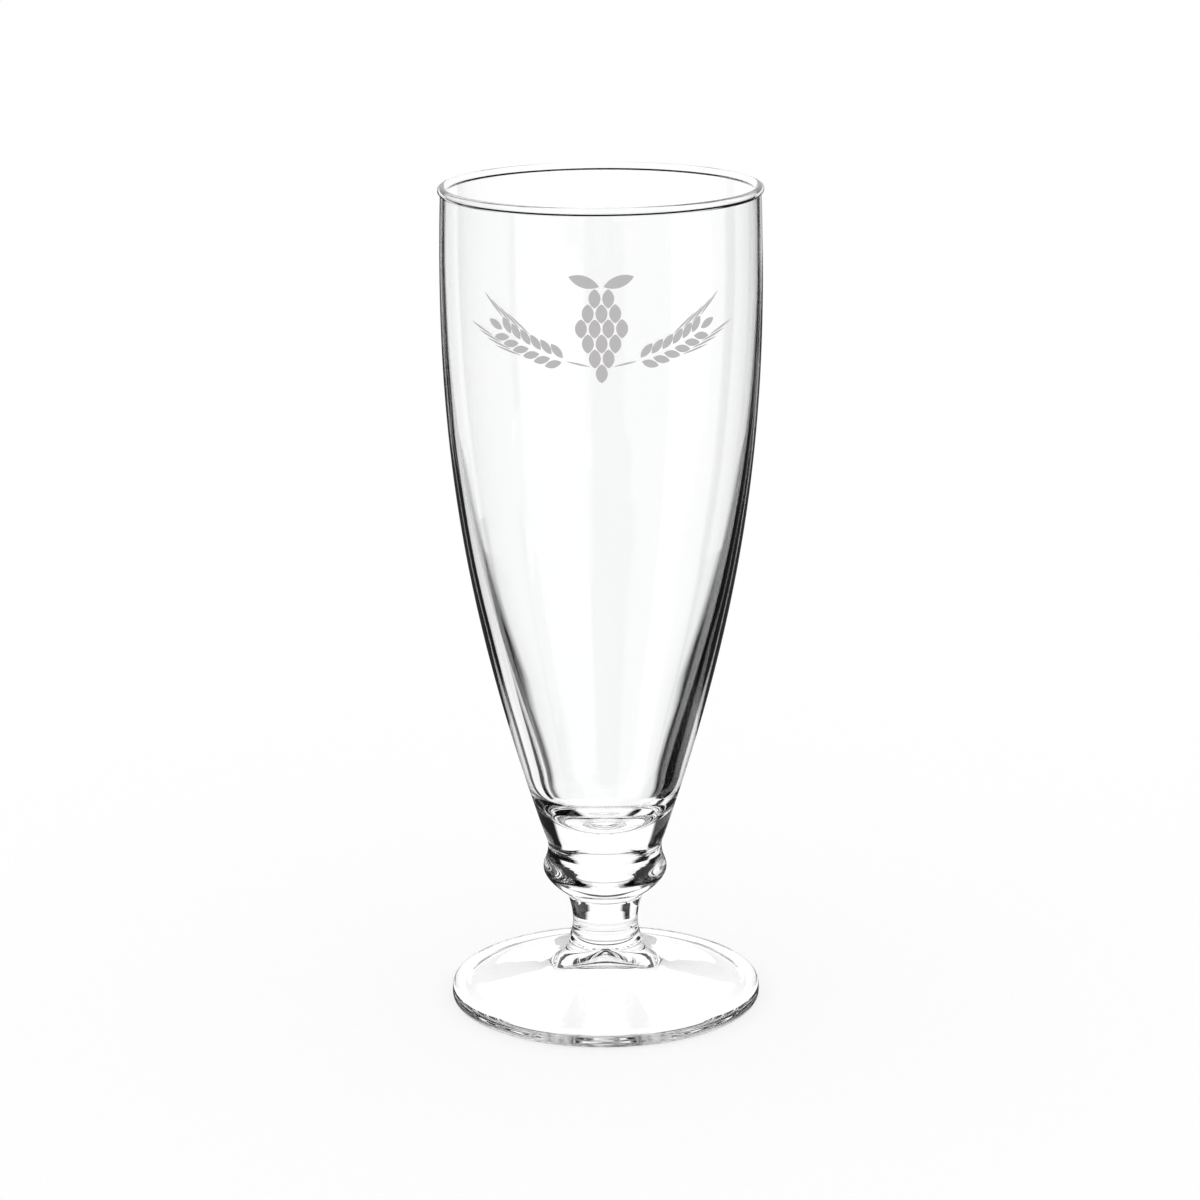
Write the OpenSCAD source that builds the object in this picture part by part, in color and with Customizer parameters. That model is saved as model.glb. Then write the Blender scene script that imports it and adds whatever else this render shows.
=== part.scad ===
// Footed pilsner glass, in millimetres, standing on z = 0 with its axis on Z.
// Foot, stem, knop and bowl are stacked on one axis and meet in flat round welds.
// The width of each weld is named once and both neighbours take it from there.
// The print is a thin layer of enamel on the outside of the bowl, facing -Y.

/* [Foot] */
// Width across the foot
foot_d = 73.2; // [64:0.2:84]
// Height of the foot, from the table to its weld with the stem
foot_h = 13.8; // [12:0.1:18]
// Thickness of the foot, the same from its edge in to the hub
foot_t = 3.4; // [2.4:0.1:4.4]
// Width of the roundings over and under the upright edge of the foot
edge_w = 1.7; // [0.8:0.1:2.4]
// Width of the flat ring that the glass rests on
rest_ring_w = 1.6; // [1:0.1:3]
// Thickness of the glass between the crown of the hollow and the weld with the stem
crown_t = 2.5; // [1.6:0.1:5]

/* [Stem] */
// Height of the stem between its two welds
stem_h = 11.2; // [8:0.1:40]
// Width of the stem at its waist
stem_waist_d = 15.4; // [12:0.1:16.8]
// Width of the weld between the foot and the stem
foot_weld_d = 17.3; // [17:0.1:19]
// Width of the weld between the stem and the knop
stem_weld_d = 17.6; // [17:0.1:20]

/* [Knop] */
// Height of the knop between its two welds
knop_h = 12.4; // [9:0.1:18]
// Width across the knop
knop_d = 29.2; // [28:0.1:36]
// Width of the weld between the knop and the bowl
bowl_weld_d = 26.9; // [25:0.1:27.6]

/* [Bowl] */
// Height of the bowl, from its weld to the top of the rim
bowl_h = 156.8; // [130:0.2:180]
// Height of the short root where the bowl turns out of its weld
root_h = 3.2; // [2:0.1:5]
// Width of the bowl at the top of the root
root_d = 28.7; // [28:0.1:30]
// Outer width of the bowl at its neck, just under the rolled rim
neck_d = 72.6; // [66:0.2:80]
// Thickness of the wall at the neck
neck_wall = 1; // [0.8:0.05:1.8]
// Thickness of the solid glass under the inside of the bowl
base_h = 5.8; // [4:0.1:10]
// Radius of the round bottom of the inside
bottom_r = 14.8; // [12:0.1:15.6]
// Lean of the inner wall where it leaves the round bottom, in degrees
wall_lean = 15; // [12:0.5:17]
// How far the rolled rim stands out beyond the neck
rim_out = 0.6; // [0.2:0.05:1]
// How far the rolled rim stands in beyond the inner wall
rim_in = 0.5; // [0.2:0.05:0.7]

/* [Print] */
// Drop of the middle of the print below the top of the rim
print_drop = 26.8; // [22:0.2:48]
// Thickness of the enamel
print_t = 0.12; // [0.06:0.01:0.3]
// Width of one bract of the hop cone
bract_w = 2.6; // [2:0.1:3]
// Length of one bract of the hop cone
bract_l = 4.2; // [3.4:0.1:4.8]
// Width of one leaf over the hop cone
leaf_w = 2.6; // [1.6:0.1:3]
// Length of one leaf over the hop cone
leaf_l = 7; // [5:0.1:8]
// Width of one barley grain
grain_w = 1.7; // [1.2:0.1:1.8]
// Length of one barley grain
grain_l = 4; // [3.4:0.1:4.6]
// Distance of the grains' inner tips from the middle line of the ear
grain_gap = 0.5; // [0.4:0.05:0.8]
// Length of the stalk of an ear
stalk_l = 5.4; // [4:0.1:6]
// Length of an awn
awn_l = 7; // [5:0.1:9]
// Width of an awn or stalk at its middle
awn_w = 0.4; // [0.3:0.05:0.5]

/* [Hidden] */

// Facets of a full turn
$fn = 96;
// Points on each span of a drawn curve
span_steps = 10;
// Points on the long spans of the wall
wall_steps = 24;
// Points on each span of the foot's edge
edge_steps = 6;
// Points on each half of the rim's bead and on the round bottom
round_steps = 8;
// Depth of the crease at each weld, and its height above and below the weld
crease = 0.25;
// How far the outlines of the print run past the enamel, inwards and outwards
overrun = 0.8;

// Radii taken from the widths above
foot_r = foot_d / 2;
foot_weld_r = foot_weld_d / 2;
stem_weld_r = stem_weld_d / 2;
stem_waist_r = stem_waist_d / 2;
knop_r = knop_d / 2;
bowl_weld_r = bowl_weld_d / 2;
root_r = root_d / 2;
neck_r = neck_d / 2;
inner_neck_r = neck_r - neck_wall;

// Heights of the three welds and of the rim, stacked from the table up
foot_weld_z = foot_h;
stem_weld_z = foot_weld_z + stem_h;
bowl_weld_z = stem_weld_z + knop_h;
rim_z = bowl_weld_z + bowl_h;

// Flat ring inside the rounded edge of the foot, and the crown of the hollow
edge_at_r = foot_r - edge_w;
ring_in_r = edge_at_r - rest_ring_w;
hollow_h = foot_h - crown_t;

// Rolled rim, a bead a little thicker than the neck
rim_r = (neck_wall + rim_out + rim_in) / 2;
rim_at_r = neck_r + rim_out - rim_r;
rim_at_z = rim_z - rim_r;
rim_out_angle = -acos((neck_r - rim_at_r) / rim_r);
rim_in_angle = 180 + acos((rim_at_r - inner_neck_r) / rim_r);
neck_z = rim_at_z + rim_r * sin(rim_out_angle);
inner_neck_z = rim_at_z + rim_r * sin(rim_in_angle);

// Round bottom of the inside
bottom_z = bowl_weld_z + base_h;
bottom_at_z = bottom_z + bottom_r;
wall_foot_r = bottom_r * cos(wall_lean);
wall_foot_z = bottom_at_z - bottom_r * sin(wall_lean);

// Curves as handles of cubic spans, each written [share of the way in radius, share in height].
// Flare of the foot, from its weld down to the top of its edge
flare_shares = [[0, 1], [0.01, 0.85], [0.04, 0.62], [0.16, 0.45], [0.33, 0.31], [0.9, 0.01], [1, 0]];
// Edge of the foot, upright between its upper and lower rounding
edge_shares = [[0, 1], [0.75, 1], [1, 0.9], [1, 0.65], [1, 0.45], [1, 0.3], [1, 0.2], [1, 0.08], [0.6, 0], [0, 0]];
// Height at which the hollow leaves the even thickness, and its way from there up to the crown
crown_from_share = 0.53;
crown_shares = [[0, 0], [0.45, 0.45], [0.85, 1], [1, 1]];
// Stem, from the lower weld in to the waist, and from the waist out to the upper weld
stem_low_shares = [[0, 0], [0.53, 0.37], [1, 0.63], [1, 1]];
stem_high_shares = [[0, 0], [0, 0.42], [0.5, 0.69], [1, 1]];
// Height of the stem's waist
waist_share = 0.4;
// Knop, from the lower weld out to its widest ring, and from there in to the upper weld
knop_low_shares = [[0, 0], [0.3, 0.2], [1, 0.6], [1, 1]];
knop_high_shares = [[0, 0], [0, 0.3], [1, 0.44], [1, 1]];
// Height of the knop's widest ring
knop_ring_share = 0.56;
// Root of the bowl, and its long wall outside and inside
root_shares = [[0, 0], [0, 0.3], [0.3, 0.4], [1, 1]];
wall_shares = [[0, 0], [0.86, 0.375], [1.094, 0.65], [1, 1]];
inner_lean_share = 0.16;
inner_belly_shares = [1.15, 0.46];

// Hop cone: bracts in each row from the top down, and the pitch across and down in bracts
cone_rows = [2, 3, 4, 3, 2, 1];
bract_pitch_shares = [1.15, 0.79];
// How far the middle of the cone lies under the middle of the print
cone_drop = 1.2;
// Gap between the cone's top and the leaves, and how far the leaves lean from upright, in degrees
leaf_gap = 0.5;
leaf_lean = 72;
// Barley ear: where its stalk ends, from the middle of the print
ear_start_u = 7.8;
ear_start_v = -6.8;
// Its angle there, and how far it turns upwards along its length, in degrees
ear_start_angle = 14;
ear_turn = 16;
// Pairs of grains, how many of the last pairs have awns, and the step between pairs in grain lengths
ear_pairs = 6;
awn_pairs = 4;
grain_step_share = 0.667;
// Lean of the grains and of the awns out of the ear, in degrees
grain_lean = 32;
awn_lean = 12;
// Gap between the tip of a grain and its awn
awn_gap = 0.3;

// Sizes of the print worked out from those above
cone_half_h = bract_l * (bract_pitch_shares[1] * (len(cone_rows) - 1) + 1) / 2;
leaf_at_u = leaf_gap + leaf_l / 2 * sin(leaf_lean);
leaf_at_v = cone_half_h - cone_drop + leaf_gap + leaf_l / 2 * cos(leaf_lean);
grain_step = grain_l * grain_step_share;
ear_l = (ear_pairs + 1) * grain_step;
grain_out = grain_gap + grain_l / 2 * sin(grain_lean);
awn_out = grain_gap + grain_l * sin(grain_lean) + (awn_gap + awn_l / 2) * sin(awn_lean);
awn_on = grain_l / 2 * cos(grain_lean) + (awn_gap + awn_l / 2) * cos(awn_lean);

// One point of a cubic span with handles a, b, c and d
function span_point(a, b, c, d, t) =
    pow(1 - t, 3) * a + 3 * pow(1 - t, 2) * t * b + 3 * (1 - t) * t * t * c + pow(t, 3) * d;

// Points of a chain of cubic spans; each span shares its last handle with the next one
function curve(handles, steps = span_steps) = concat([handles[0]], [
    for (s = [0 : 3 : len(handles) - 4], i = [1 : steps])
        span_point(handles[s], handles[s + 1], handles[s + 2], handles[s + 3], i / steps)
]);

// Shares turned into sizes, between two radii and two heights
function placed(shares, r_from, r_to, z_from, z_to) =
    [for (s = shares) [r_from + (r_to - r_from) * s[0], z_from + (z_to - z_from) * s[1]]];

// Points of an arc about [r, z], from one angle to another
function arc(r, z, radius, from, to, steps = round_steps) =
    [for (i = [0 : steps]) let (a = from + (to - from) * i / steps) [r + radius * cos(a), z + radius * sin(a)]];

// Points of a curve moved square to it, to the right of its way, by a distance
function beside(points, distance) = [
    for (i = [0 : len(points) - 1])
        let (way = points[min(i + 1, len(points) - 1)] - points[max(i - 1, 0)])
            points[i] + distance / norm(way) * [way[1], -way[0]]
];

// Points of a list in the opposite order
function turned(points) = [for (i = [len(points) - 1 : -1 : 0]) points[i]];

// List without its first point, where a curve starts on the point that the last one ended on
function tail(points) = [for (i = [1 : len(points) - 1]) points[i]];

// Rim of the flat disc of a weld, inside its crease
function seat(weld_r, weld_z) = [weld_r - crease, weld_z];

foot_top = curve(placed(flare_shares, foot_weld_r, edge_at_r, foot_t, foot_h - crease));
foot_edge = curve(placed(edge_shares, edge_at_r, foot_r, 0, foot_t), edge_steps);
// The hollow runs beside the flare, so that the foot is as thick at the hub as at its edge
foot_hollow = [
    for (p = turned(beside(foot_top, foot_t)))
        if (p[0] < ring_in_r && p[1] > 0 && p[1] < hollow_h * crown_from_share) p
];
crown_from = foot_hollow[len(foot_hollow) - 1];
foot_crown = curve(placed(crown_shares, crown_from[0], 0, crown_from[1], hollow_h));

waist_z = foot_weld_z + stem_h * waist_share;
stem_low = curve(placed(stem_low_shares, foot_weld_r, stem_waist_r, foot_weld_z + crease, waist_z));
stem_high = curve(placed(stem_high_shares, stem_waist_r, stem_weld_r, waist_z, stem_weld_z - crease));

knop_ring_z = stem_weld_z + knop_h * knop_ring_share;
knop_low = curve(placed(knop_low_shares, stem_weld_r, knop_r, stem_weld_z + crease, knop_ring_z));
knop_high = curve(placed(knop_high_shares, knop_r, bowl_weld_r, knop_ring_z, bowl_weld_z - crease));

root_z = bowl_weld_z + root_h;
root = curve(placed(root_shares, bowl_weld_r, root_r, bowl_weld_z + crease, root_z));
outer_wall = curve(placed(wall_shares, root_r, neck_r, root_z, neck_z), wall_steps);
rim = concat(
    arc(rim_at_r, rim_at_z, rim_r, rim_out_angle, 90),
    tail(arc(rim_at_r, rim_at_z, rim_r, 90, rim_in_angle))
);
inner_rise = inner_neck_z - wall_foot_z;
inner_wall = curve([
    [wall_foot_r, wall_foot_z],
    [wall_foot_r + inner_rise * inner_lean_share * tan(wall_lean), wall_foot_z + inner_rise * inner_lean_share],
    [wall_foot_r + (inner_neck_r - wall_foot_r) * inner_belly_shares[0],
        wall_foot_z + inner_rise * inner_belly_shares[1]],
    [inner_neck_r, inner_neck_z]
], wall_steps);
cup_bottom = arc(0, bottom_at_z, bottom_r, -wall_lean, -90);

// Outer wall as a table of [height, radius], and the band of it that carries the print
wall_lookup = [for (p = outer_wall) [p[1], p[0]]];
print_z = rim_z - print_drop;
print_r = lookup(print_z, wall_lookup);
print_low_z = print_z - cone_half_h - leaf_l;
print_high_z = min(print_z + cone_half_h + leaf_l, neck_z);
print_wall = concat(
    [[lookup(print_low_z, wall_lookup), print_low_z]],
    [for (p = outer_wall) if (p[1] > print_low_z && p[1] < print_high_z) p],
    [[lookup(print_high_z, wall_lookup), print_high_z]]
);

module foot() {
    color([0.86, 0.9, 0.9, 0.5])
        rotate_extrude()
            polygon(concat(
                [[0, foot_weld_z], seat(foot_weld_r, foot_weld_z)],
                foot_top, tail(foot_edge), [[ring_in_r, 0]], foot_hollow, tail(foot_crown)
            ));
}

module stem() {
    color([0.83, 0.88, 0.89, 0.5])
        rotate_extrude()
            polygon(concat(
                [[0, foot_weld_z], seat(foot_weld_r, foot_weld_z)],
                stem_low, tail(stem_high),
                [seat(stem_weld_r, stem_weld_z), [0, stem_weld_z]]
            ));
}

module knop() {
    color([0.8, 0.86, 0.88, 0.5])
        rotate_extrude()
            polygon(concat(
                [[0, stem_weld_z], seat(stem_weld_r, stem_weld_z)],
                knop_low, tail(knop_high),
                [seat(bowl_weld_r, bowl_weld_z), [0, bowl_weld_z]]
            ));
}

module bowl() {
    color([0.88, 0.92, 0.93, 0.4])
        rotate_extrude()
            polygon(concat(
                [[0, bowl_weld_z], seat(bowl_weld_r, bowl_weld_z)],
                root, tail(outer_wall), tail(rim), tail(turned(inner_wall)), tail(cup_bottom)
            ));
}

// Lens with two pointed ends along Y, between two circles that cross at its tips
module lens(w, l) {
    round_r = (l * l + w * w) / (4 * w);
    intersection() {
        translate([w / 2 - round_r, 0])
            circle(round_r, $fn = 360);
        translate([round_r - w / 2, 0])
            circle(round_r, $fn = 360);
    }
}

// Lens standing square to the wall: u along the wall and v up it, from the middle of the print
module stamp(u, v, tilt, w, l) {
    at_z = print_z + v;
    at_r = lookup(at_z, wall_lookup);
    rotate([0, 0, u / print_r * 180 / PI])
        translate([0, -at_r + overrun, at_z])
            rotate([90, 0, 0])
                rotate([0, 0, tilt])
                    linear_extrude(2 * overrun)
                        lens(w, l);
}

// Hop cone of staggered bracts under two leaves
module hop_cone() {
    rows = len(cone_rows);
    for (row = [0 : rows - 1], i = [0 : cone_rows[row] - 1])
        stamp(
            (i - (cone_rows[row] - 1) / 2) * bract_w * bract_pitch_shares[0],
            ((rows - 1) / 2 - row) * bract_l * bract_pitch_shares[1] - cone_drop,
            0, bract_w, bract_l
        );
    for (side = [-1, 1])
        stamp(side * leaf_at_u, leaf_at_v, -side * leaf_lean, leaf_w, leaf_l);
}

// Angle of an ear's middle line, and the point a step out of that line, a distance s from its start
function ear_angle(s) = ear_start_angle + ear_turn * s / ear_l;
function ear_point(s, out) = [
    ear_start_u + s * cos(ear_angle(s / 2)) - out * sin(ear_angle(s)),
    ear_start_v + s * sin(ear_angle(s / 2)) + out * cos(ear_angle(s))
];

// Lens laid along an ear and turned by lean out of its middle line
module ear_stamp(side, s, out, lean, w, l) {
    at = ear_point(s, out);
    stamp(side * at[0], at[1], side * (ear_angle(s) + lean - 90), w, l);
}

// Ear of barley: a stalk, pairs of grains, one grain at the tip, and the awns of the last pairs
module barley_ear(side) {
    ear_stamp(side, -stalk_l / 2, 0, 0, awn_w, stalk_l);
    for (pair = [0 : ear_pairs - 1], way = [-1, 1]) {
        s = (pair + 1) * grain_step;
        ear_stamp(side, s, way * grain_out, way * grain_lean, grain_w, grain_l);
        if (pair >= ear_pairs - awn_pairs)
            ear_stamp(side, s + awn_on, way * awn_out, way * awn_lean, awn_w, awn_l);
    }
    ear_stamp(side, ear_l, 0, 0, grain_w, grain_l);
}

module print() {
    color([0.74, 0.73, 0.735])
        intersection() {
            rotate_extrude()
                polygon(concat(print_wall, turned([for (p = print_wall) [p[0] + print_t, p[1]]])));
            union() {
                hop_cone();
                for (side = [-1, 1])
                    barley_ear(side);
            }
        }
}

foot();
stem();
knop();
bowl();
print();
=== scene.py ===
from collections import namedtuple
from math import ceil, cos, degrees, pi, radians, sin

import bmesh
import bpy
import numpy as np
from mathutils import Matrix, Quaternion, Vector


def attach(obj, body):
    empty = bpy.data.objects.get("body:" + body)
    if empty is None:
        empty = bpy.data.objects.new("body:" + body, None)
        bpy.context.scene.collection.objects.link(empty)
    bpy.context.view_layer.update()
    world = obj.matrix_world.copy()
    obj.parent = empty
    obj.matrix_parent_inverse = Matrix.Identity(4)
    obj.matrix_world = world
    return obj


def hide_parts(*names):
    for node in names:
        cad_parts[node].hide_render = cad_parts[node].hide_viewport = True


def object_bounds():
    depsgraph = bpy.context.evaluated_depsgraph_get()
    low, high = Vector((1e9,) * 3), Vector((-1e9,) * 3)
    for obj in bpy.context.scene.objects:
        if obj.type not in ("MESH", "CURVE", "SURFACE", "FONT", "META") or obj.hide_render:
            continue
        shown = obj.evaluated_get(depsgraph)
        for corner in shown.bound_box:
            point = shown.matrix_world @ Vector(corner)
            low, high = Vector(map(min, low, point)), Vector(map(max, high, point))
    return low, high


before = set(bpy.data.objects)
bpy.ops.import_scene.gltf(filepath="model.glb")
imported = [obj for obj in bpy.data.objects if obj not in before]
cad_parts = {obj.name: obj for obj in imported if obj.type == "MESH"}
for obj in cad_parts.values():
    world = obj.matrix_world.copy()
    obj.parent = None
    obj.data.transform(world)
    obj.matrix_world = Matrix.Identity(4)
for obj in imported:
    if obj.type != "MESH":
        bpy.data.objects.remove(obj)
cad_low, cad_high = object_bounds()

GLASS_NODES = ["foot", "stem", "knop", "bowl"]
height = cad_high.z - cad_low.z

# Camera of the photograph. Its distance and its aim are in heights of the glass, its angles in
# degrees, and its focal length and the aim's offset in pixels of the photograph.
PHOTO_PIXELS = 1200
FOCAL_PIXELS = 3521.15
ASIDE_PIXELS = 3.3
CAMERA_DISTANCE = 4.22056
CAMERA_ELEVATION = 14.992
CAMERA_ROLL = 0.39
AIM_HEIGHT = 0.499554
SENSOR_MM = 36
CLIP_START, CLIP_END = 0.01, 100


def add_camera():
    """The photograph's camera, aimed a hair beside the axis and rolled as the picture is."""
    data = bpy.data.cameras.new("camera")
    data.sensor_width = SENSOR_MM
    data.lens = SENSOR_MM * FOCAL_PIXELS / PHOTO_PIXELS
    data.clip_start, data.clip_end = CLIP_START, CLIP_END
    camera = bpy.data.objects.new("camera", data)
    bpy.context.scene.collection.objects.link(camera)
    distance = CAMERA_DISTANCE * height
    tilt = radians(CAMERA_ELEVATION)
    aim = Vector((0, 0, AIM_HEIGHT * height))
    back = Vector((0, -cos(tilt), sin(tilt)))
    camera.location = aim + back * distance
    aim.x -= ASIDE_PIXELS / FOCAL_PIXELS * distance
    look = (aim - camera.location).to_track_quat("-Z", "Y")
    camera.rotation_mode = "QUATERNION"
    camera.rotation_quaternion = look @ Quaternion((0, 0, 1), radians(-CAMERA_ROLL))
    bpy.context.scene.camera = camera


# Turned glass. SAME is the least distance that counts, and its decimals are kept of a place read
# from the frame. An outline has a corner where it turns by more than CORNER, its points are left
# out where it turns by less than STRAIGHT, and one step of a smooth curve turns by STEP at most.
AROUND = 256
SAME, SAME_DECIMALS = 1e-6, 6
CORNER_DEGREES = 28
STRAIGHT_DEGREES = 0.06
STEP_DEGREES = 2.5
LEAST_STEPS = 3


def turn_at(a, b, c):
    """Angle that an outline turns through at b, in degrees."""
    u = Vector((b[0] - a[0], b[1] - a[1]))
    v = Vector((c[0] - b[0], c[1] - b[1]))
    return degrees(u.angle(v, 0))


def cad_outline(node):
    """The (radius, height) points of a turned node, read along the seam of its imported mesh."""
    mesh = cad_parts[node].data
    spots = []
    for v in mesh.vertices:
        on_seam = abs(v.co.y) < SAME and v.co.x > -SAME
        spot = (round(max(v.co.x, 0), SAME_DECIMALS), round(v.co.z, SAME_DECIMALS))
        spots.append(spot if on_seam else None)
    links = {}
    for e in mesh.edges:
        a, b = spots[e.vertices[0]], spots[e.vertices[1]]
        if a and b and a != b:
            links.setdefault(a, set()).add(b)
            links.setdefault(b, set()).add(a)
    ends = sorted(p for p in links if len(links[p]) == 1)
    path = [max(ends, key=lambda p: p[0])]
    while True:
        onward = [p for p in links[path[-1]] if p not in path[-2:-1]]
        if not onward or onward[0] in path:
            break
        path.append(onward[0])
    kept = [path[0]]
    for here, after in zip(path[1:], path[2:]):
        if turn_at(kept[-1], here, after) > STRAIGHT_DEGREES:
            kept.append(here)
    return kept + path[-1:]


def spline(points):
    """A smooth curve of cubic spans through points, with short steps where it turns."""
    spots = np.array(points)
    count = len(spots)
    if count < 3:
        return [tuple(p) for p in spots]
    gaps = np.linalg.norm(np.diff(spots, axis=0), axis=1)
    system = np.zeros((count, count))
    wanted = np.zeros((count, 2))
    # at each end, two spans share one rate at which the curve's bend changes
    system[0, :3] = gaps[1], -(gaps[0] + gaps[1]), gaps[0]
    system[-1, -3:] = gaps[-1], -(gaps[-2] + gaps[-1]), gaps[-2]
    for i in range(1, count - 1):
        system[i, i - 1:i + 2] = gaps[i - 1], 2 * (gaps[i - 1] + gaps[i]), gaps[i]
        wanted[i] = 6 * ((spots[i + 1] - spots[i]) / gaps[i] - (spots[i] - spots[i - 1]) / gaps[i - 1])
    # with three points the bend is the same all along
    if count == 3:
        system[0], system[-1] = (1, -1, 0), (0, 1, -1)
    bend = np.linalg.solve(system, wanted)
    turns = [0] + [turn_at(*points[i - 1:i + 2]) for i in range(1, count - 1)] + [0]
    out = [tuple(spots[0])]
    for i in range(count - 1):
        steps = max(LEAST_STEPS, ceil(max(turns[i:i + 2]) / STEP_DEGREES))
        for k in range(1, steps + 1):
            t = k / steps
            u = 1 - t
            p = u * spots[i] + t * spots[i + 1]
            p = p + gaps[i] ** 2 / 6 * ((u**3 - u) * bend[i] + (t**3 - t) * bend[i + 1])
            out.append((max(p[0], 0), p[1]))
    return out


def finer(points):
    """The outline with smooth curves between its corners. Returns its points, and which are corners."""
    last = len(points) - 1
    corners = [
        i for i in range(last + 1)
        if i in (0, last) or turn_at(points[i - 1], points[i], points[i + 1]) > CORNER_DEGREES
    ]
    out, sharp = [points[0]], [True]
    for a, b in zip(corners, corners[1:]):
        stretch = spline(points[a:b + 1])[1:]
        out += stretch
        sharp += [False] * (len(stretch) - 1) + [True]
    return out, sharp


def rings_of(points):
    """Vertices round the axis at each point of an outline, one alone where it meets the axis."""
    verts, rings = [], []
    for r, z in points:
        count = 1 if r < SAME else AROUND
        rings.append(list(range(len(verts), len(verts) + count)))
        if count == 1:
            verts.append((0, 0, z))
        else:
            turns = [2 * pi * k / AROUND for k in range(AROUND)]
            verts += [(r * sin(a), -r * cos(a), z) for a in turns]
    return verts, rings


def band(low, high):
    """Faces between two rings, either of which may be a point on the axis."""
    faces = []
    for k in range(AROUND):
        n = (k + 1) % AROUND
        if len(low) == 1:
            faces.append((low[0], high[n], high[k]))
        elif len(high) == 1:
            faces.append((low[k], low[n], high[0]))
        else:
            faces.append((low[k], low[n], high[n], high[k]))
    return faces


def turned_piece(node, materials):
    """One closed piece, turned from its node's outline. Its flat weld discs take the second material."""
    points, sharp = finer(cad_outline(node))
    verts, rings = rings_of(points)
    faces = [face for low, high in zip(rings, rings[1:]) for face in band(low, high)]
    turned = len(faces)
    for ring, (_, z) in ((rings[0], points[0]), (rings[-1], points[-1])):
        if len(ring) > 1:
            faces += [(ring[k], ring[(k + 1) % AROUND], len(verts)) for k in range(AROUND)]
            verts.append((0, 0, z))
    mesh = bpy.data.meshes.new(node + "_glass")
    mesh.from_pydata(verts, [], faces)
    for material in materials:
        mesh.materials.append(material)
    flat = [i >= turned for i in range(len(faces))]
    mesh.polygons.foreach_set("use_smooth", [not disc for disc in flat])
    mesh.polygons.foreach_set("material_index", [int(disc) for disc in flat])
    sharp_edges = {
        frozenset((ring[k], ring[(k + 1) % AROUND]))
        for ring, is_corner in zip(rings, sharp) if is_corner and len(ring) > 1
        for k in range(AROUND)
    }
    for e in mesh.edges:
        if frozenset(e.vertices) in sharp_edges:
            e.use_edge_sharp = True
    mesh.update()
    bm = bmesh.new()
    bm.from_mesh(mesh)
    bmesh.ops.recalc_face_normals(bm, faces=bm.faces)
    bm.to_mesh(mesh)
    bm.free()
    piece = bpy.data.objects.new(node + "_glass", mesh)
    bpy.context.scene.collection.objects.link(piece)
    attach(piece, "root")
    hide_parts(node)
    return piece


# Node trees
# the sockets of Blender's Mix node that carry colours
MIX_FIRST, MIX_SECOND, MIX_RESULT = 6, 7, 2


def new_material(name):
    material = bpy.data.materials.new(name)
    material.use_nodes = True
    material.node_tree.nodes.clear()
    return material, material.node_tree


def show(tree, shader):
    """Makes a shader the material's surface."""
    out = tree.nodes.new("ShaderNodeOutputMaterial")
    tree.links.new(shader.outputs[0], out.inputs["Surface"])


def mixed(tree, share, first, second):
    """A mix of two shaders, with the second one's share."""
    mix = tree.nodes.new("ShaderNodeMixShader")
    for socket, source in zip(mix.inputs, (share, first.outputs[0], second.outputs[0])):
        tree.links.new(source, socket)
    return mix


def math_node(tree, operation, *values):
    node = tree.nodes.new("ShaderNodeMath")
    node.operation = operation
    for socket, value in zip(node.inputs, values):
        if isinstance(value, (int, float)):
            socket.default_value = value
        else:
            tree.links.new(value, socket)
    return node.outputs[0]


def product(tree, first, *others):
    for other in others:
        first = math_node(tree, "MULTIPLY", first, other)
    return first


def brightest(tree, shares):
    best = shares[0]
    for share in shares[1:]:
        best = math_node(tree, "MAXIMUM", best, share)
    return best


def smooth_range(tree, value, low, high, to_low, to_high):
    """A value that eases from to_low to to_high while another goes from low to high."""
    node = tree.nodes.new("ShaderNodeMapRange")
    node.interpolation_type = "SMOOTHSTEP"
    tree.links.new(value, node.inputs["Value"])
    ends = {"From Min": low, "From Max": high, "To Min": to_low, "To Max": to_high}
    for name, number in ends.items():
        node.inputs[name].default_value = number
    return node.outputs[0]


def dot_with(tree, vector, x, y):
    dot = tree.nodes.new("ShaderNodeVectorMath")
    dot.operation = "DOT_PRODUCT"
    tree.links.new(vector, dot.inputs[0])
    dot.inputs[1].default_value = (x, y, 0)
    return dot.outputs["Value"]


def ramp_of(tree, value, shades):
    """A grey from a table of places and shades. The ramp starts with two stops."""
    ramp = tree.nodes.new("ShaderNodeValToRGB")
    tree.links.new(value, ramp.inputs[0])
    stops = ramp.color_ramp.elements
    for place, _ in shades[2:]:
        stops.new(place)
    for stop, (place, shade) in zip(stops, shades):
        stop.position = place
        stop.color = (shade, shade, shade, 1)
    return ramp.outputs[0]


def noise_at(tree, scale, detail):
    """Noise fixed to the object, with scale as its repeats in a metre."""
    place = tree.nodes.new("ShaderNodeTexCoord")
    noise = tree.nodes.new("ShaderNodeTexNoise")
    noise.inputs["Scale"].default_value = scale
    noise.inputs["Detail"].default_value = detail
    tree.links.new(place.outputs["Object"], noise.inputs["Vector"])
    return noise.outputs[0]


def add_bump(tree, shader, relief, strength, depth):
    bump = tree.nodes.new("ShaderNodeBump")
    bump.inputs["Strength"].default_value = strength
    bump.inputs["Distance"].default_value = depth
    tree.links.new(relief, bump.inputs["Height"])
    tree.links.new(bump.outputs[0], shader.inputs["Normal"])


def add_tint(tree, shader, share, low, high):
    """A base colour between two others, by a share that varies over the surface."""
    tint = tree.nodes.new("ShaderNodeMix")
    tint.data_type = "RGBA"
    tree.links.new(share, tint.inputs[0])
    tint.inputs[MIX_FIRST].default_value = (*low, 1)
    tint.inputs[MIX_SECOND].default_value = (*high, 1)
    tree.links.new(tint.outputs[MIX_RESULT], shader.inputs["Base Color"])


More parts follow.
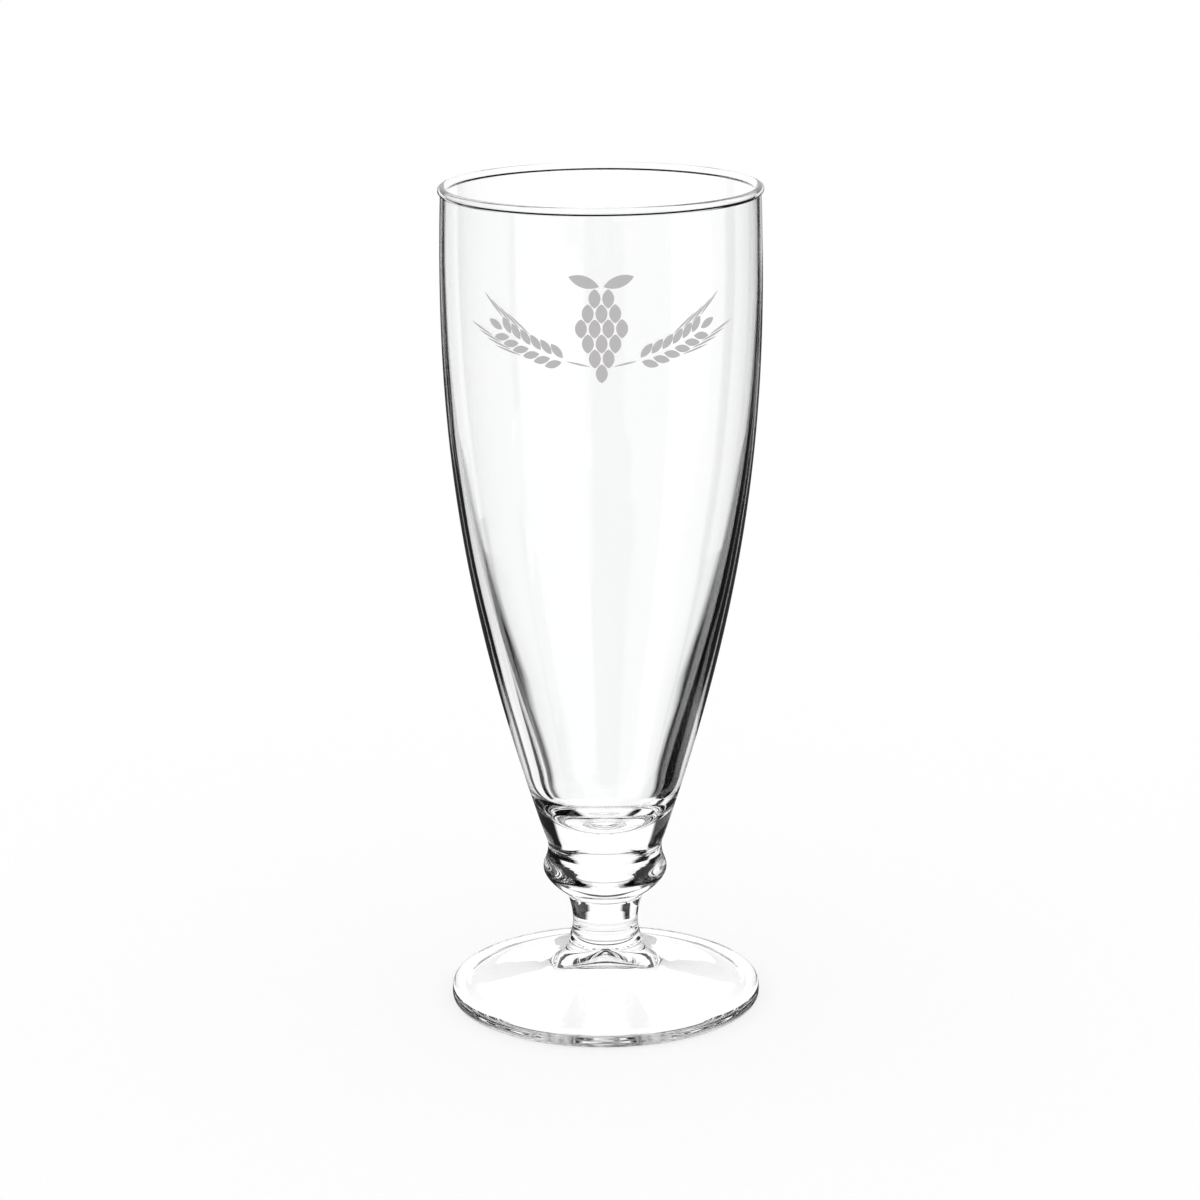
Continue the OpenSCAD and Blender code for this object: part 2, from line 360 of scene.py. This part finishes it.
# Materials. The scales of their noise are repeats in a metre.
GLASS_IOR = 1.5
GLASS_TINT_SCALE, GLASS_TINT_DETAIL = 40, 1
GLASS_TINTS = [(0.988, 0.994, 0.992), (0.998, 1, 0.999)]
WAVE_SCALE, WAVE_DETAIL, WAVE_STRENGTH, WAVE_DEPTH = 60, 0, 0.08, 0.0004
ENAMEL_TINT_SCALE, ENAMEL_TINT_DETAIL = 300, 3
ENAMEL_TINTS = [(0.49, 0.478, 0.483), (0.53, 0.518, 0.523)]
GRAIN_SCALE, GRAIN_DETAIL, GRAIN_STRENGTH, GRAIN_DEPTH = 4000, 3, 0.3, 0.00003
# roughness at the low and the high end of this range of the grain
GRAIN_RANGE, ENAMEL_ROUGHNESS = (0.3, 0.7), (0.4, 0.52)


def glass_material():
    """Clear glass, with the faint waves and the hardly visible tint of pressed and blown ware."""
    material, tree = new_material("clear_glass")
    shader = tree.nodes.new("ShaderNodeBsdfPrincipled")
    shader.inputs["Transmission Weight"].default_value = 1
    shader.inputs["Roughness"].default_value = 0
    shader.inputs["IOR"].default_value = GLASS_IOR
    add_tint(tree, shader, noise_at(tree, GLASS_TINT_SCALE, GLASS_TINT_DETAIL), *GLASS_TINTS)
    add_bump(tree, shader, noise_at(tree, WAVE_SCALE, WAVE_DETAIL), WAVE_STRENGTH, WAVE_DEPTH)
    show(tree, shader)
    return material


def weld_material():
    """Nothing to see, where two pieces of glass are melted into one."""
    material, tree = new_material("weld")
    show(tree, tree.nodes.new("ShaderNodeBsdfTransparent"))
    return material


def enamel_material():
    """Satin grey enamel with a fine grain."""
    material, tree = new_material("enamel")
    shader = tree.nodes.new("ShaderNodeBsdfPrincipled")
    grain = noise_at(tree, GRAIN_SCALE, GRAIN_DETAIL)
    add_tint(tree, shader, noise_at(tree, ENAMEL_TINT_SCALE, ENAMEL_TINT_DETAIL), *ENAMEL_TINTS)
    roughness = smooth_range(tree, grain, *GRAIN_RANGE, *ENAMEL_ROUGHNESS)
    tree.links.new(roughness, shader.inputs["Roughness"])
    add_bump(tree, shader, grain, GRAIN_STRENGTH, GRAIN_DEPTH)
    show(tree, shader)
    return material


# Studio. The camera and matt surfaces see a white table in a white room. Glass mirrors a white room
# over a dark table. Through the glass shows a dark room, with painted light: white wedges that glow on
# the table and white cards that glow above it, each for a camera on the other side of the glass.
FLOOR_RADIUS = 12
# share of the table's white that shines by itself and takes no shadow
FLOOR_GLOW = 0.6
# brightness of white seen through glass, above 1 for what its surfaces take away
THROUGH_GLASS = 1.1
MIRRORED_STRENGTH = 0.06
ROOM_STRENGTH = 0.01
# radius of the white disc under the foot, in half-widths of the glass
UNDER_FOOT = 1.6
# Where there is a card overhead, the table is white as far as STRIP from the middle of the wedge,
# within STRIP_WEDGE degrees of it, also where the wedge itself is narrower.
STRIP, STRIP_WEDGE = 0.07, 25
# radius of each ring of cards, and its lower and upper edge
NEAR_RADIUS, NEAR_EDGES = 0.15, (0.06, 0.2)
FAR_RADIUS, FAR_EDGES = 2.5, (0.001, 1.6)
# height of the cards overhead, and where they lie, as shares of it: onward from the axis, and across
OVERHEAD = 1.2
OVERHEAD_FROM, OVERHEAD_TO, OVERHEAD_ACROSS = 0.3, 1.6, 0.4
# heights between which the near cards widen, and the most half-width in degrees below and above them
WIDEN_FROM, WIDEN_TO, NEAR_LOW, NEAR_HIGH = 0.085, 0.1, 26, 32
# a card's upper edge fades out over this height
CARD_FADE = 0.01
# sides of the rings, of which table and cards are made
RING_FACETS = 96
# azimuth of the camera and half-widths on the table and on the cards, in degrees, the tops of the
# near and the far card, 0 where there is none, and whether there is a card overhead
Wedge = namedtuple("Wedge", "azimuth table_width card_width near_top far_top overhead")
WEDGES = [
    Wedge(0, 21, 38, 0.187, 0.46, True),
    Wedge(45, 13, 13, 0, 0.06, False),
    Wedge(90, 21, 30, 0.187, 0.46, False),
    Wedge(225, 21, 38, 0.187, 0.3, True),
]
# brightness across a wedge from its middle, at shares of its half-width
WEDGE_SHADES = [(0, 1), (0.5, 1), (0.8, 0.92), (0.9, 0.5), (1, 0)]
CARD_SHADES = [(0, 1), (0.92, 1), (0.96, 0.5), (1, 0)]


def first_hand(tree, kind):
    """1 for a ray of this kind that no matt surface has sent on, else 0."""
    path = tree.nodes.new("ShaderNodeLightPath")
    unscattered = math_node(tree, "LESS_THAN", path.outputs["Diffuse Depth"], 1)
    return product(tree, path.outputs[kind], unscattered)


def shade_of_rays(tree, bent_share, mirrored_share):
    """Brightness by kind of ray: a share for what glass bends, one for what it mirrors, 1 for the rest."""
    lost = math_node(tree, "SUBTRACT", 1, product(tree, THROUGH_GLASS, bent_share))
    bent = product(tree, first_hand(tree, "Is Transmission Ray"), lost)
    mirrored = product(tree, first_hand(tree, "Is Reflection Ray"), 1 - mirrored_share)
    return math_node(tree, "SUBTRACT", 1, math_node(tree, "ADD", bent, mirrored))


def place_in(tree, azimuth):
    """A place as a camera at this azimuth sees it: across from the middle, onward past the axis, and up."""
    place = tree.nodes.new("ShaderNodeNewGeometry").outputs["Position"]
    a = radians(azimuth)
    across = math_node(tree, "ABSOLUTE", dot_with(tree, place, cos(a), sin(a)))
    onward = dot_with(tree, place, -sin(a), cos(a))
    split = tree.nodes.new("ShaderNodeSeparateXYZ")
    tree.links.new(place, split.inputs[0])
    return across, onward, split.outputs["Z"]


def radius_of(tree):
    """Distance of a place from the origin, which on the table is its distance from the axis."""
    length = tree.nodes.new("ShaderNodeVectorMath")
    length.operation = "LENGTH"
    tree.links.new(tree.nodes.new("ShaderNodeNewGeometry").outputs["Position"], length.inputs[0])
    return length.outputs["Value"]


def table_wedges(tree):
    """How white the table is at a place, as seen through the glass: painted light in glowing wedges."""
    radius = radius_of(tree)
    shares = []
    for wedge in WEDGES:
        across, onward, _ = place_in(tree, wedge.azimuth)
        reach = product(tree, radius, sin(radians(wedge.table_width)))
        if wedge.overhead:
            wide = product(tree, radius, sin(radians(STRIP_WEDGE)))
            reach = math_node(tree, "MAXIMUM", reach, math_node(tree, "MINIMUM", wide, STRIP))
        shade = ramp_of(tree, math_node(tree, "DIVIDE", across, reach), WEDGE_SHADES)
        shares.append(product(tree, shade, math_node(tree, "GREATER_THAN", onward, 0)))
    shares.append(math_node(tree, "LESS_THAN", radius, cad_high.x * UNDER_FOOT))
    return brightest(tree, shares)


def near_reach(tree, wedge, z):
    """Half-width of a near card at height z."""
    low, high = (NEAR_RADIUS * sin(radians(min(wedge.card_width, most))) for most in (NEAR_LOW, NEAR_HIGH))
    return smooth_range(tree, z, WIDEN_FROM, WIDEN_TO, low, high)


def ring_wedges(tree, near):
    """How white the near or the far ring of cards is at a place."""
    shares = []
    for wedge in WEDGES:
        top = wedge.near_top if near else wedge.far_top
        if not top:
            continue
        across, onward, z = place_in(tree, wedge.azimuth)
        reach = near_reach(tree, wedge, z) if near else FAR_RADIUS * sin(radians(wedge.card_width))
        shade = ramp_of(tree, math_node(tree, "DIVIDE", across, reach), CARD_SHADES)
        ahead = math_node(tree, "GREATER_THAN", onward, 0)
        below = smooth_range(tree, z, top - CARD_FADE, top, 1, 0)
        shares.append(product(tree, shade, ahead, below))
    return brightest(tree, shares)


def overhead_wedges(tree):
    """How white the sheet overhead is at a place."""
    shares = []
    for wedge in WEDGES:
        if wedge.overhead:
            across, onward, _ = place_in(tree, wedge.azimuth)
            past = math_node(tree, "GREATER_THAN", onward, OVERHEAD_FROM * OVERHEAD)
            before = math_node(tree, "LESS_THAN", onward, OVERHEAD_TO * OVERHEAD)
            beside = math_node(tree, "LESS_THAN", across, OVERHEAD_ACROSS * OVERHEAD)
            shares.append(product(tree, past, before, beside))
    return brightest(tree, shares)


def add_world():
    """The room: white, but dark for what glass bends."""
    world = bpy.data.worlds.new("studio")
    bpy.context.scene.world = world
    world.use_nodes = True
    tree = world.node_tree
    tree.nodes.clear()
    out = tree.nodes.new("ShaderNodeOutputWorld")
    background = tree.nodes.new("ShaderNodeBackground")
    background.inputs["Color"].default_value = (1, 1, 1, 1)
    tree.links.new(shade_of_rays(tree, ROOM_STRENGTH, 1), background.inputs["Strength"])
    tree.links.new(background.outputs[0], out.inputs["Surface"])


def ring_mesh(name, radius, heights, material):
    """A stage mesh from a ring of points at each height: an upright band between two, or a disc in one."""
    count = RING_FACETS
    around = [2 * pi * k / count for k in range(count)]
    verts = [(radius * cos(a), radius * sin(a), z) for z in heights for a in around]
    faces = [tuple(range(count))]
    if len(heights) > 1:
        faces = [(k, (k + 1) % count, count + (k + 1) % count, count + k) for k in range(count)]
    mesh = bpy.data.meshes.new(name)
    mesh.from_pydata(verts, [], faces)
    mesh.materials.append(material)
    piece = bpy.data.objects.new(name, mesh)
    bpy.context.scene.collection.objects.link(piece)
    return piece


def add_floor():
    """The white table, which keeps a soft shadow, with painted light on it for what glass shows."""
    material, tree = new_material("floor")
    # painted light: the table's colour is white for the camera, dark in mirrors, and glows in wedges
    # through glass
    white = shade_of_rays(tree, table_wedges(tree), MIRRORED_STRENGTH)
    colour = tree.nodes.new("ShaderNodeCombineColor")
    for socket in colour.inputs:
        tree.links.new(white, socket)
    diffuse = tree.nodes.new("ShaderNodeBsdfDiffuse")
    glow = tree.nodes.new("ShaderNodeEmission")
    for shader in (diffuse, glow):
        tree.links.new(colour.outputs[0], shader.inputs["Color"])
    share = math_node(tree, "MAXIMUM", first_hand(tree, "Is Transmission Ray"), FLOOR_GLOW)
    show(tree, mixed(tree, share, diffuse, glow))
    ring_mesh("floor", FLOOR_RADIUS, [cad_low.z], material)


def near_wedges(tree):
    return ring_wedges(tree, True)


def far_wedges(tree):
    return ring_wedges(tree, False)


def add_cards(name, radius, heights, wedges, hidden_from):
    """Cards in one ring or sheet that glow white in their wedges as painted light, clear elsewhere and
    hidden from some rays.
    """
    material, tree = new_material(name)
    glow = tree.nodes.new("ShaderNodeEmission")
    tree.links.new(shade_of_rays(tree, 1, 1), glow.inputs["Strength"])
    show(tree, mixed(tree, wedges(tree), tree.nodes.new("ShaderNodeBsdfTransparent"), glow))
    piece = ring_mesh(name, radius, heights, material)
    for kind in hidden_from:
        setattr(piece, "visible_" + kind, False)


bpy.context.scene.view_settings.view_transform = "Standard"
add_camera()
add_world()
add_floor()
# only rays that come from the glass meet the cards, and mirrored ones don't meet the near cards,
# which would hide the dark table from them
HIDDEN_FROM = ["camera", "diffuse", "shadow", "volume_scatter"]
add_cards("near_cards", NEAR_RADIUS, NEAR_EDGES, near_wedges, HIDDEN_FROM + ["glossy"])
add_cards("far_cards", FAR_RADIUS, FAR_EDGES, far_wedges, HIDDEN_FROM)
sheet_radius = OVERHEAD * (OVERHEAD_TO + OVERHEAD_ACROSS)
add_cards("high_cards", sheet_radius, [OVERHEAD], overhead_wedges, HIDDEN_FROM)

glass = [glass_material(), weld_material()]
for node in GLASS_NODES:
    turned_piece(node, glass)
enamel = enamel_material()
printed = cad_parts["print"]
printed.data.materials.clear()
printed.data.materials.append(enamel)

# light turns many times on its way through walls and base
BOUNCES, MIRRORED_BOUNCES = 32, 16
cycles = bpy.context.scene.cycles
cycles.max_bounces = BOUNCES
cycles.transmission_bounces = BOUNCES
cycles.transparent_max_bounces = BOUNCES
cycles.glossy_bounces = MIRRORED_BOUNCES
